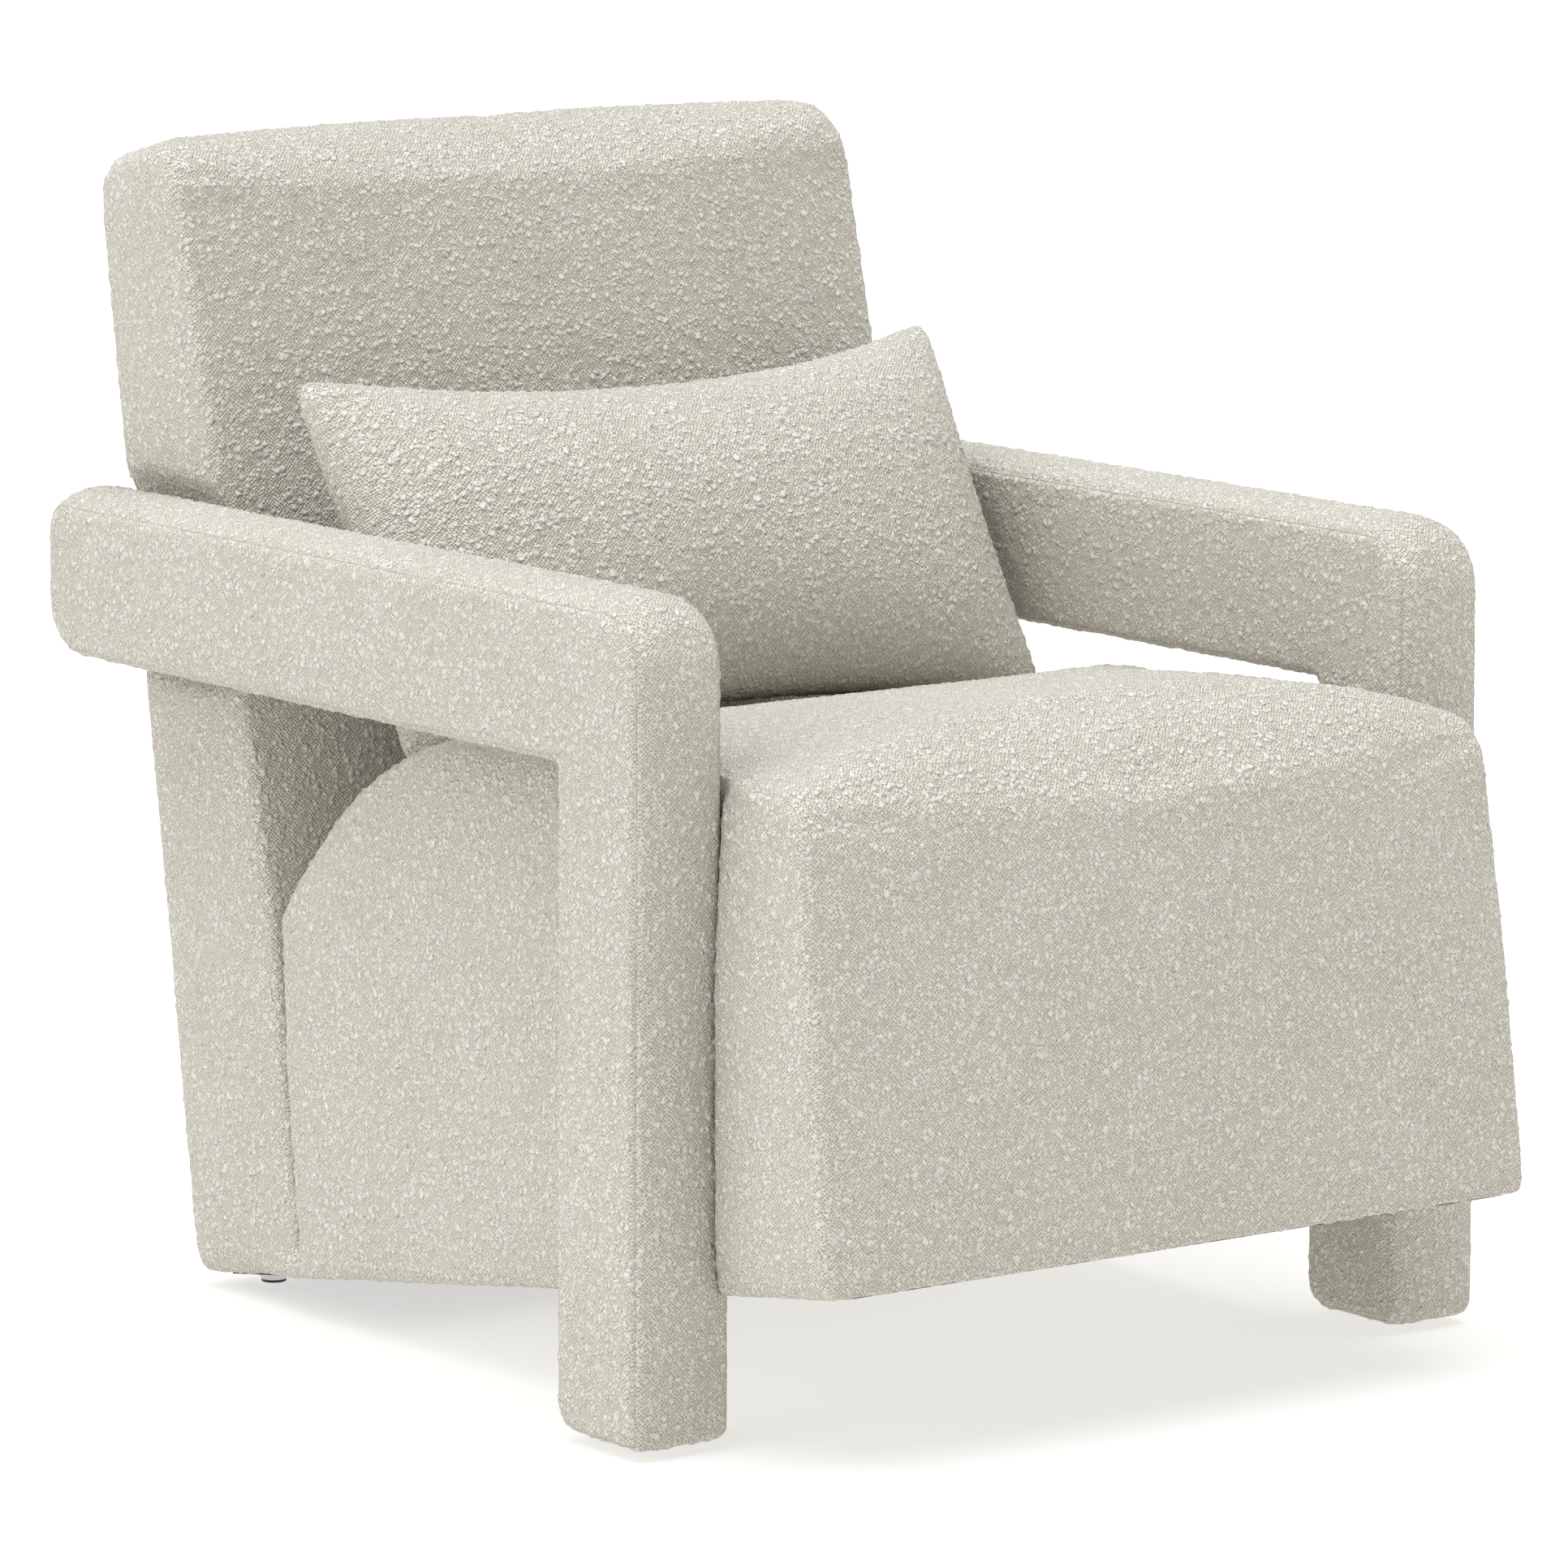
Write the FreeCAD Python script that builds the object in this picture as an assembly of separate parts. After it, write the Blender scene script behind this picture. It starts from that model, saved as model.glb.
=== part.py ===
import FreeCAD, Part
import math
import os

# An upholstered open-arm lounge chair. Millimetres, +Z up, +X across, the sitter faces -Y.
# The seat and back are one unit that leans back between two upright L-shaped arm-and-leg
# panels. The unit is drawn square in its own frame, (x, u, w), with u running back along its
# underside from the front bottom edge and w square to that, and is then tipped into place.
# The arms are drawn with y = 0 at the front of their legs. The last step moves everything so
# that the origin is on the floor under the middle of the chair.

V = FreeCAD.Vector
os.makedirs("parts", exist_ok=True)

# ---- driving dimensions: arm and leg panels ----
WIDTH = 740.0            # across the outsides of the arms
ARM_THICK = 74.0         # arm and leg panel, across
ARM_LENGTH = 746.0       # leg front to the rear end of the arm
ARM_TOP = 583.0
ARM_UNDER = 473.0
LEG_DEPTH = 92.0
LEG_BOTTOM = 11.0
TOP_ROUND = 27.0         # corners of the panel in side view
REAR_LOW_ROUND = 36.0
LEG_ROUND = 10.0
CROOK_ROUND = 4.0
PANEL_EDGE = 9.0         # round along the panel's long edges
COVER = 4.0              # boucle cloth with its backing and wadding
ARM_FOAM = 10.0          # over the core's sides
ARM_END_FOAM = 10.0      # over the core's front, rear and underside
ARM_TOP_FOAM = 12.0

# ---- driving dimensions: seat and back unit ----
TILT = 8.7               # degrees that the unit leans back
EDGE_Y = -136.0          # front bottom edge, measured from the front of the legs
EDGE_Z = 129.0           # and its height
UNIT_DEPTH = 798.0
SEAT_DEPTH = 660.0
SEAT_FRONT = 345.0       # height of the seat block behind its front edge
NOSE = 45.0              # round of that edge
CREST_U = 290.0          # the seat's crown, and where it is
CREST_W = 383.0
SHOULDER_U = 490.0       # where the crown turns down to the rear
SHOULDER_W = 369.0
TURN_U = 598.0           # halfway down that turn
TURN_W = 324.0
REAR_STEP = 10.0         # the turn ends this far ahead of the back
BACK_TOP_FRONT = 838.0
BACK_TOP_REAR = 822.0
BACK_TOP_THICK = 100.0
BACK_CROWN = 15.0        # how far the back's face bulges towards the sitter
BACK_FRONT_ROUND = 15.0
BACK_REAR_ROUND = 12.0
SIDE_FOAM = 12.0
FRONT_FOAM = 20.0
LINING_SHEET = 1.5       # black cloth under the unit
LINING_INSET = 12.0
HEM = 30.0               # width of cover turned under the unit

# ---- driving dimensions: the unit's frame ----
PANEL = 22.0             # plywood
RAIL_TOP = 235.0         # top of the seat rails, which carries the springs
TUCK = 246.0             # the inside covers stop here, tucked over the springs
POST_FRONT = 716.0       # the side frames' back posts
POST_REAR = 786.0
POST_TOP = 802.0
FRONT_RAIL_U = 35.0      # middle of the front rail and of the rear seat rail
REAR_RAIL_U = 679.0
REAR_RAIL_LOW = 170.0
BATTEN_US = (150.0, 340.0, 540.0)
BATTEN_WIDE = 60.0
BACK_RAIL_LOW = 262.0
FOOT_RAIL_U = 742.0
FOOT_RAIL_TOP = 64.0
FOOT_BLOCK_TOP = 84.0
FOOT_BLOCK_SIDE = 16.0   # from the rear glides' line inwards
GLUE_BLOCK = 50.0
GLUE_BLOCK_TALL = 60.0
BOARD = 3.0              # fibreboard behind the back

# ---- driving dimensions: springs and straps ----
SPRING_COUNT = 5
SPRING_SPACING = 104.0
SPRING_WIRE = 3.8
SPRING_PITCH = 28.0
SPRING_HALF_BAR = 12.0
CLIP_SHEET = 1.2
CLIP_HALF_LONG = 8.0
CLIP_HALF_WIDE = 7.0
PAD = 3.0                # felt over the springs
PAD_GAP = 0.3
STRAP_COUNT = 6
STRAP_FIRST_W = 330.0
STRAP_PITCH = 84.0
STRAP_WIDE = 60.0
STRAP_SHEET = 2.0

# ---- driving dimensions: fasteners ----
FIT = 0.05               # radial clearance of parts that slide in or screw into each other
BOLT_R = 4.0             # M8
BOLT_ROOM_R = 4.25
HEAD_R = 6.5
HEAD_TALL = 8.0
KEY = 6.0                # socket for the key in a bolt's head
KEY_DEEP = 4.0
WASHER_R = 9.0
WASHER_SHEET = 1.6
TNUT_R = 5.2
TNUT_DEEP = 11.0
TNUT_FLANGE_R = 10.0
LEG_BOLTS = [(46.0, 165.0), (46.0, 305.0)]       # (y, z), through the seat's side frame
BACK_BOLTS = [(680.0, 507.0), (700.0, 547.0)]    # through its back post
DOWEL_R = 6.0
DOWEL_HALF = 32.0
DOWEL_YS = (30.0, 62.0)
SCREW_Y = 46.0
SCREW_R = 3.0
SCREW_HEAD_R = 5.5
SCREW_HEAD_TALL = 4.0
SCREW_LONG = 120.0

# ---- driving dimensions: glides ----
GLIDE_TOP = 7.0          # top of the cup, which stops against its socket
FOOT_TALL = 2.2
FOOT_R = 8.6             # the foot's flat underside
FOOT_TOP_R = 9.4
FOOT_ROUND = 0.6
CUP_R = 9.6
CUP_TOP_R = 12.0
CUP_ROUND = 0.8
STEM_TOP = 29.0
STEM_ROOM_R = 4.6
STEM_ROOM_TOP = 37.0
SOCKET_R = 5.2
SOCKET_TALL = 20.0
SOCKET_FLANGE_R = 14.0
WEDGE_TALL = 5.0         # thickest part of the rear sockets' wedge-shaped flanges
FRONT_GLIDE_X = 338.0
FRONT_GLIDE_Y = 64.0
REAR_GLIDE_X = 251.0
REAR_GLIDE_Y = 636.0

# ---- driving dimensions: loose pillow ----
PILLOW_WIDE = 572.0
PILLOW_TALL = 290.0
PILLOW_THICK = 140.0
PILLOW_TAPER = 1.35      # its ends are fuller than its top and bottom by this much
PILLOW_LEAN = 27.0
PILLOW_Y = 477.0
PILLOW_Z = 552.0
PILLOW_CLOTH = 3.0

# ---- sizes that follow ----
HALF = WIDTH / 2
INNER = HALF - ARM_THICK             # inner faces of the arms, and the unit's half width
ARM_MID = (INNER + HALF) / 2
CORE_OUT = HALF - COVER - ARM_FOAM   # outer and inner faces of the arm's hardwood core
CORE_IN = INNER + COVER + ARM_FOAM
CORE_END = COVER + ARM_END_FOAM      # the core stops this far from the panel's ends
CORE_TOP = ARM_TOP - COVER - ARM_TOP_FOAM
POST_HEIGHT = ARM_UNDER + ARM_END_FOAM
LINING = INNER - COVER               # inside of the unit's cover
FRAME_OUT = LINING - SIDE_FOAM       # outer and inner faces of the plywood side frames
FRAME_IN = FRAME_OUT - PANEL
FRAME_FRONT = COVER + FRONT_FOAM
CLIP_TALL = SPRING_WIRE + 2 * FIT + 2 * CLIP_SHEET
PAD_LOW = RAIL_TOP + CLIP_TALL + PAD_GAP
PAD_HIGH = PAD_LOW + PAD
STRAP_FACE = POST_FRONT - STRAP_SHEET
ARM_BOLTS = LEG_BOLTS + BACK_BOLTS
BEYOND = 500.0                       # reaches past everything, for trimming
GLIDES = {
    "front_left": (-FRONT_GLIDE_X, FRONT_GLIDE_Y),
    "front_right": (FRONT_GLIDE_X, FRONT_GLIDE_Y),
    "rear_left": (-REAR_GLIDE_X, REAR_GLIDE_Y),
    "rear_right": (REAR_GLIDE_X, REAR_GLIDE_Y),
}


# ---- helpers ----
def outline(corners, radii):
    """A closed wire through (y, z) corners, each rounded to its own radius."""
    points = [V(0, y, z) for y, z in corners]
    arcs = []
    ends = []
    for i, here in enumerate(points):
        to_last = (points[i - 1] - here).normalize()
        to_next = (points[(i + 1) % len(points)] - here).normalize()
        half = to_last.getAngle(to_next) / 2
        cut = radii[i] / math.tan(half)
        start = here + to_last * cut
        finish = here + to_next * cut
        reach = radii[i] / math.sin(half) - radii[i]
        middle = here + (to_last + to_next).normalize() * reach
        arcs.append(Part.Arc(start, middle, finish).toShape() if radii[i] > 0 else None)
        ends.append((start, finish))
    edges = []
    for i, arc in enumerate(arcs):
        if arc:
            edges.append(arc)
        start = ends[i][1]
        finish = ends[(i + 1) % len(ends)][0]
        edges.append(Part.LineSegment(start, finish).toShape())
    return Part.Wire(edges)


def rounded_middle(start, corner, end):
    """The middle of the arc that rounds a nearly square corner between two points."""
    return corner + ((start + end) * 0.5 - corner) * (2 - math.sqrt(2))


def across(wire, x0, x1):
    """The wire's face carried across the chair from x0 to x1."""
    face = Part.Face(wire)
    face.translate(V(x0, 0, 0))
    return face.extrude(V(x1 - x0, 0, 0))


def block(x0, x1, y0, y1, z0, z1):
    return Part.makeBox(x1 - x0, y1 - y0, z1 - z0, V(x0, y0, z0))


def rail(u0, u1, w0, w1, half=FRAME_IN):
    """A block across the unit, by default between its side frames."""
    return block(-half, half, u0, u1, w0, w1)


def rod(radius, start, end):
    """A round bar from one point to another."""
    return Part.makeCylinder(radius, (end - start).Length, start, end - start)


def side_edges(shape, x_planes):
    """The edges that lie in the given X planes, for rounding."""
    found = []
    for edge in shape.Edges:
        box = edge.BoundBox
        if any(abs(box.XMin - x) < 1e-4 and abs(box.XMax - x) < 1e-4 for x in x_planes):
            found.append(edge)
    return found


def circle_at(shape, height):
    """The round edges of a turned part at one height, for rounding."""
    return [e for e in shape.Edges if len(e.Vertexes) == 1 and abs(e.BoundBox.ZMax - height) < 0.01]


def tipped(shape):
    """From the unit's own frame to the chair's."""
    moved = shape.copy()
    moved.rotate(V(0, 0, 0), V(1, 0, 0), -TILT)
    moved.translate(V(0, EDGE_Y, EDGE_Z))
    return moved


def mirrored(shape):
    return shape.mirror(V(0, 0, 0), V(1, 0, 0))


def both_sides(shapes):
    """Parts of the right side and their mirror images, as one group."""
    return Part.makeCompound(list(shapes) + [mirrored(shape) for shape in shapes])


def drilled(shape, tools):
    for tool in tools:
        if shape.BoundBox.intersect(tool.BoundBox):
            shape = shape.cut(tool)
    return shape


# ---- arm and leg panels, right side ----
def arm_outline(inset):
    """Side view of an arm and its leg: an upside-down L with its long side to the rear."""
    corners = [
        (inset, LEG_BOTTOM + inset),
        (inset, ARM_TOP - inset),
        (ARM_LENGTH - inset, ARM_TOP - inset),
        (ARM_LENGTH - inset, ARM_UNDER + inset),
        (LEG_DEPTH - inset, ARM_UNDER + inset),
        (LEG_DEPTH - inset, LEG_BOTTOM + inset),
    ]
    outer = [LEG_ROUND, TOP_ROUND, TOP_ROUND, REAR_LOW_ROUND]
    radii = [r - inset for r in outer] + [CROOK_ROUND + inset, LEG_ROUND - inset]
    return outline(corners, radii)


def arm_solid(inset):
    solid = across(arm_outline(inset), INNER + inset, HALF - inset)
    return solid.makeFillet(PANEL_EDGE - inset, side_edges(solid, [INNER + inset, HALF - inset]))


def leg_post():
    rear = LEG_DEPTH - CORE_END
    return block(CORE_IN, CORE_OUT, CORE_END, rear, LEG_BOTTOM + COVER, POST_HEIGHT)


def arm_beam():
    """The arm's core, its ends rounded like the cover over it."""
    rear = ARM_LENGTH - CORE_END
    corners = [(CORE_END, POST_HEIGHT), (CORE_END, CORE_TOP), (rear, CORE_TOP), (rear, POST_HEIGHT)]
    high = TOP_ROUND - CORE_END
    low = REAR_LOW_ROUND - CORE_END
    return across(outline(corners, [0, high, high, low]), CORE_IN, CORE_OUT)


def arm_nodes():
    core = leg_post().fuse(arm_beam())
    return {
        "arm_cover": arm_solid(0).cut(arm_solid(COVER)),
        "arm_foam": arm_solid(COVER).cut(core),
        "leg_post": leg_post(),
        "arm_beam": arm_beam(),
    }


def dowels(radius):
    """The pegs between post and beam, or their holes."""
    pegs = []
    for y in DOWEL_YS:
        low = V(ARM_MID, y, POST_HEIGHT - DOWEL_HALF)
        high = V(ARM_MID, y, POST_HEIGHT + DOWEL_HALF)
        pegs.append(rod(radius, low, high))
    return pegs


def frame_screw(spare):
    """The long screw down through beam into post, or its hole."""
    tip = V(ARM_MID, SCREW_Y, CORE_TOP - SCREW_LONG)
    neck = V(ARM_MID, SCREW_Y, CORE_TOP - SCREW_HEAD_TALL)
    top = V(ARM_MID, SCREW_Y, CORE_TOP)
    return rod(SCREW_R + spare, tip, neck).fuse(rod(SCREW_HEAD_R + spare, neck, top))


# ---- bolts that hold the arm panels to the unit, right side ----
def bolt_holes():
    """Room for the shanks and T-nuts."""
    tools = []
    for y, z in ARM_BOLTS:
        face = V(CORE_OUT, y, z)
        tools.append(rod(BOLT_ROOM_R, V(FRAME_IN - 1, y, z), face))
        tools.append(rod(TNUT_R + FIT, face - V(TNUT_DEEP, 0, 0), face))
        tools.append(rod(TNUT_FLANGE_R + FIT, face, face + V(WASHER_SHEET, 0, 0)))
    return tools


def make_bolt(y, z):
    seat = V(FRAME_IN - WASHER_SHEET, y, z)
    back = seat - V(HEAD_TALL, 0, 0)
    shank = rod(BOLT_R, seat, V(CORE_OUT, y, z))
    key = Part.makeBox(KEY_DEEP, KEY, KEY, back - V(0, KEY / 2, KEY / 2))
    return rod(HEAD_R, back, seat).fuse(shank).cut(key)


def make_washer(y, z):
    start = V(FRAME_IN - WASHER_SHEET, y, z)
    end = V(FRAME_IN, y, z)
    return rod(WASHER_R, start, end).cut(rod(BOLT_ROOM_R, start, end))


def make_tnut(y, z):
    low = V(CORE_OUT - TNUT_DEEP, y, z)
    face = V(CORE_OUT, y, z)
    high = V(CORE_OUT + WASHER_SHEET, y, z)
    return rod(TNUT_R, low, face).fuse(rod(TNUT_FLANGE_R, face, high)).cut(rod(BOLT_R + FIT, low, high))


# ---- glides and their sockets, as at the origin ----
def glide_foot():
    """Thin black pad that stands on the floor."""
    cone = Part.makeCone(FOOT_R + FOOT_ROUND, FOOT_TOP_R, FOOT_TALL)
    return cone.makeFillet(FOOT_ROUND, circle_at(cone, 0))


def glide_stem():
    """Bright cup that flares up from the pad, and the threaded stem that screws into the socket."""
    cup = Part.makeCone(CUP_R, CUP_TOP_R, GLIDE_TOP - FOOT_TALL, V(0, 0, FOOT_TALL))
    cup = cup.makeFillet(CUP_ROUND, circle_at(cup, GLIDE_TOP))
    return cup.fuse(rod(BOLT_R, V(0, 0, GLIDE_TOP - CUP_ROUND), V(0, 0, STEM_TOP)))


def glide_socket(flange_top):
    """Flanged threaded socket in the end of a leg or post."""
    base = V(0, 0, GLIDE_TOP)
    top = V(0, 0, GLIDE_TOP + SOCKET_TALL)
    flange = rod(SOCKET_FLANGE_R, base, V(0, 0, flange_top))
    return rod(SOCKET_R, base, top).fuse(flange).cut(rod(BOLT_R + FIT, base, top))


def rear_socket(x, y):
    """The rear sockets' flanges are wedges, because the unit's underside slopes."""
    socket = glide_socket(GLIDE_TOP + WEDGE_TALL)
    socket.translate(V(x, y, 0))
    underside = tipped(rail(-50, UNIT_DEPTH + 50, -LINING_SHEET, BEYOND, BEYOND))
    barrel = rod(SOCKET_R + FIT / 2, V(x, y, 0), V(x, y, BEYOND))
    return socket.cut(underside.cut(barrel))


def glide_holes(x, y):
    """Room in the leg or post for the socket's barrel and the stem above it."""
    floor = V(x, y, 0)
    barrel = rod(SOCKET_R + FIT, floor, V(x, y, GLIDE_TOP + SOCKET_TALL))
    return [barrel, rod(STEM_ROOM_R, floor, V(x, y, STEM_ROOM_TOP))]


# ---- the unit's outlines ----
def seat_outline(inset, rear):
    """Side view of the seat block: round front edge, crowned top, large round at the rear."""
    nose = NOSE - inset
    nose_w = SEAT_FRONT - NOSE
    heel = V(0, inset, inset)
    start = V(0, inset, nose_w)
    crest = V(0, NOSE, SEAT_FRONT - inset)
    bend = V(0, NOSE - nose / math.sqrt(2), nose_w + nose / math.sqrt(2))
    top = V(0, CREST_U, CREST_W - inset)
    shoulder = V(0, SHOULDER_U, SHOULDER_W - inset)
    turn = V(0, TURN_U - inset / 2, TURN_W - inset * math.sqrt(3) / 2)
    end = V(0, SEAT_DEPTH - REAR_STEP - inset, RAIL_TOP)
    tail = V(0, rear, RAIL_TOP - REAR_STEP)
    foot = V(0, rear, inset)
    edges = [
        Part.LineSegment(heel, start),
        Part.Arc(start, bend, crest),
        Part.Arc(crest, top, shoulder),
        Part.Arc(shoulder, turn, end),
        Part.LineSegment(end, tail),
        Part.LineSegment(tail, foot),
        Part.LineSegment(foot, heel),
    ]
    return Part.Wire([edge.toShape() for edge in edges])


def back_outline(inset):
    """Side view of the back block, thinner towards the top, its face bulging forwards."""
    face_foot = V(0, SEAT_DEPTH + inset, inset)
    face_low = V(0, SEAT_DEPTH + inset, TUCK)
    face_u = UNIT_DEPTH - BACK_TOP_THICK + inset
    face_top = V(0, face_u, BACK_TOP_FRONT - BACK_FRONT_ROUND)
    face_mid = (face_low + face_top) * 0.5 - V(0, BACK_CROWN, 0)
    lip = V(0, face_u + BACK_FRONT_ROUND, BACK_TOP_FRONT - inset)
    front_turn = rounded_middle(face_top, V(0, face_top.y, lip.z), lip)
    rear_top = V(0, UNIT_DEPTH - inset - BACK_REAR_ROUND, BACK_TOP_REAR - inset)
    rear_high = V(0, UNIT_DEPTH - inset, BACK_TOP_REAR - BACK_REAR_ROUND)
    rear_turn = rounded_middle(rear_top, V(0, rear_high.y, rear_top.z), rear_high)
    rear_foot = V(0, UNIT_DEPTH - inset, inset)
    edges = [
        Part.LineSegment(face_foot, face_low),
        Part.Arc(face_low, face_mid, face_top),
        Part.Arc(face_top, front_turn, lip),
        Part.LineSegment(lip, rear_top),
        Part.Arc(rear_top, rear_turn, rear_high),
        Part.LineSegment(rear_high, rear_foot),
        Part.LineSegment(rear_foot, face_foot),
    ]
    return Part.Wire([edge.toShape() for edge in edges])


# ---- the unit's wooden frame ----
def side_frame():
    """One plywood panel: the seat's side with the back's post rising from it."""
    corners = [
        (FRAME_FRONT, COVER),
        (POST_REAR, COVER),
        (POST_REAR, POST_TOP),
        (POST_FRONT, POST_TOP),
        (POST_FRONT, RAIL_TOP),
        (FRAME_FRONT, RAIL_TOP),
    ]
    crook = TUCK - RAIL_TOP - 2
    return across(outline(corners, [crook, 0, 0, 0, crook, 0]), FRAME_IN, FRAME_OUT)


def glue_block(u, toward, top):
    """Triangular block in the angle between a rail and the right side frame."""
    low = top - GLUE_BLOCK_TALL
    corner = V(FRAME_IN, u, low)
    reach = [V(FRAME_IN - GLUE_BLOCK, u, low), V(FRAME_IN, u + toward * GLUE_BLOCK, low)]
    face = Part.Face(Part.makePolygon([corner] + reach + [corner]))
    return face.extrude(V(0, 0, GLUE_BLOCK_TALL))


def frame_nodes():
    half = PANEL / 2
    side = side_frame()
    block_in = REAR_GLIDE_X - FOOT_BLOCK_SIDE
    foot_block = block(block_in, FRAME_IN, FOOT_RAIL_U, POST_REAR, COVER, FOOT_BLOCK_TOP)
    blocks = [
        glue_block(FRONT_RAIL_U + half, 1, RAIL_TOP - GLUE_BLOCK),
        glue_block(REAR_RAIL_U - half, -1, RAIL_TOP),
    ]
    battens = [rail(u, u + BATTEN_WIDE, COVER, COVER + PANEL) for u in BATTEN_US]
    board_low = COVER + 4
    board_rear = POST_REAR + BOARD
    return {
        "side_frame_right": side,
        "side_frame_left": mirrored(side),
        "front_rail": rail(FRONT_RAIL_U - half, FRONT_RAIL_U + half, COVER, RAIL_TOP),
        "rear_seat_rail": rail(REAR_RAIL_U - half, REAR_RAIL_U + half, REAR_RAIL_LOW, RAIL_TOP),
        "cross_battens": Part.makeCompound(battens),
        "rear_bottom_rail": rail(FOOT_RAIL_U, FOOT_RAIL_U + PANEL, COVER, FOOT_RAIL_TOP, block_in),
        "rear_foot_blocks": both_sides([foot_block]),
        "corner_blocks": both_sides(blocks),
        "back_lower_rail": rail(POST_FRONT, POST_REAR, BACK_RAIL_LOW, BACK_RAIL_LOW + PANEL),
        "back_top_rail": rail(POST_FRONT, POST_REAR, POST_TOP - PANEL, POST_TOP),
        "back_board": rail(POST_REAR, board_rear, board_low, POST_TOP, FRAME_OUT),
    }


# ---- springs, clips and straps ----
def zigzag_spring(x):
    """One sinuous spring from the front rail to the rear seat rail."""
    gaps = round((REAR_RAIL_U - FRONT_RAIL_U) / SPRING_PITCH)
    pitch = (REAR_RAIL_U - FRONT_RAIL_U) / gaps
    height = RAIL_TOP + CLIP_TALL / 2
    path = []
    side = 1
    for i in range(gaps + 1):
        u = FRONT_RAIL_U + i * pitch
        start = V(x - side * SPRING_HALF_BAR, u, height)
        end = V(x + side * SPRING_HALF_BAR, u, height)
        path.append(Part.LineSegment(start, end).toShape())
        if i < gaps:
            bulge = end + V(side * pitch / 2, pitch / 2, 0)
            path.append(Part.Arc(end, bulge, end + V(0, pitch, 0)).toShape())
        side = -side
    begin = V(x - SPRING_HALF_BAR, FRONT_RAIL_U, height)
    section = Part.Wire(Part.makeCircle(SPRING_WIRE / 2, begin, V(1, 0, 0)))
    return Part.Wire(path).makePipeShell([section], True, False)


def spring_clip(x, u, opens):
    """Folded sheet clip that holds a spring's end bar on its rail and opens to one side."""
    long = CLIP_HALF_LONG
    wide = CLIP_HALF_WIDE
    room = wide - CLIP_SHEET
    top = RAIL_TOP + CLIP_TALL
    body = block(x - long, x + long, u - wide, u + wide, RAIL_TOP, top)
    slot = block(x - long, x + long, u - room, u + room, RAIL_TOP + CLIP_SHEET, top - CLIP_SHEET)
    mouth = slot.copy()
    mouth.translate(V(0, opens * wide, 0))
    return body.cut(slot).cut(mouth)


def spring_nodes():
    middle = (SPRING_COUNT - 1) / 2
    xs = [(i - middle) * SPRING_SPACING for i in range(SPRING_COUNT)]
    clips = [spring_clip(x, FRONT_RAIL_U, 1) for x in xs]
    clips += [spring_clip(x, REAR_RAIL_U, -1) for x in xs]
    straps = []
    for i in range(STRAP_COUNT):
        low = STRAP_FIRST_W + i * STRAP_PITCH - STRAP_WIDE / 2
        straps.append(rail(STRAP_FACE, POST_FRONT, low, low + STRAP_WIDE, FRAME_OUT - COVER))
    return {
        "seat_springs": Part.makeCompound([zigzag_spring(x) for x in xs]),
        "spring_clips": Part.makeCompound(clips),
        "spring_pad": rail(FRAME_FRONT, SEAT_DEPTH - COVER, PAD_LOW, PAD_HIGH, FRAME_OUT),
        "back_webbing": Part.makeCompound(straps),
    }


# ---- the unit's foam and covers ----
def foam_nodes():
    inside_seat = across(seat_outline(COVER, SEAT_DEPTH), -LINING, LINING)
    inside_back = across(back_outline(COVER), -LINING, LINING)
    over_springs = rail(COVER, SEAT_DEPTH - COVER, PAD_HIGH, BEYOND, LINING)
    over_straps = rail(SEAT_DEPTH - NOSE, STRAP_FACE, TUCK, 2 * BEYOND, LINING)
    over_posts = rail(STRAP_FACE, POST_REAR, POST_TOP, 2 * BEYOND, LINING)
    flank = block(FRAME_OUT, LINING, FRAME_FRONT, STRAP_FACE, COVER, RAIL_TOP)
    edging = block(FRAME_OUT, LINING, STRAP_FACE, POST_REAR, COVER, POST_TOP)
    return {
        "seat_foam": inside_seat.common(over_springs),
        "seat_front_foam": rail(COVER, FRAME_FRONT, COVER, RAIL_TOP, LINING),
        "seat_side_foam_right": flank,
        "seat_side_foam_left": mirrored(flank),
        "back_foam": inside_back.common(over_straps),
        "back_top_foam": inside_back.common(over_posts),
        "back_side_foam": both_sides([edging]),
    }


def cover_nodes():
    seat_room = across(seat_outline(COVER, SEAT_DEPTH + 1), -LINING, LINING)
    seat_mouth = rail(FRAME_FRONT + HEM, SEAT_DEPTH + 1, -1, COVER + 1)
    seat_tuck = rail(SEAT_DEPTH - 2 * HEM, SEAT_DEPTH + 1, COVER, TUCK, LINING)
    seat = across(seat_outline(0, SEAT_DEPTH), -INNER, INNER)
    back_room = across(back_outline(COVER), -LINING, LINING)
    back_mouth = rail(SEAT_DEPTH - 1, FOOT_RAIL_U, -1, COVER + 1)
    back_tuck = rail(SEAT_DEPTH - 1, POST_FRONT, COVER, TUCK, LINING)
    outside = rail(UNIT_DEPTH - COVER, UNIT_DEPTH, COVER, POST_TOP, LINING)
    back = across(back_outline(0), -INNER, INNER)
    lining_rear = UNIT_DEPTH - LINING_INSET
    return {
        "seat_cover": drilled(seat, [seat_room, seat_mouth, seat_tuck]),
        "back_cover": drilled(back, [back_room, back_mouth, back_tuck, outside]),
        "outside_back_panel": outside,
        "dust_cover": rail(LINING_INSET, lining_rear, -LINING_SHEET, 0, INNER - LINING_INSET),
    }


# ---- loose pillow ----
def lens(length, chord, thick):
    """A bar along X whose section is two equal arcs meeting at top and bottom edges."""
    top = V(0, 0, chord / 2)
    foot = V(0, 0, -chord / 2)
    front = Part.Arc(top, V(0, -thick / 2, 0), foot).toShape()
    rear = Part.Arc(foot, V(0, thick / 2, 0), top).toShape()
    return across(Part.Wire([front, rear]), -length / 2, length / 2)


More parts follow.
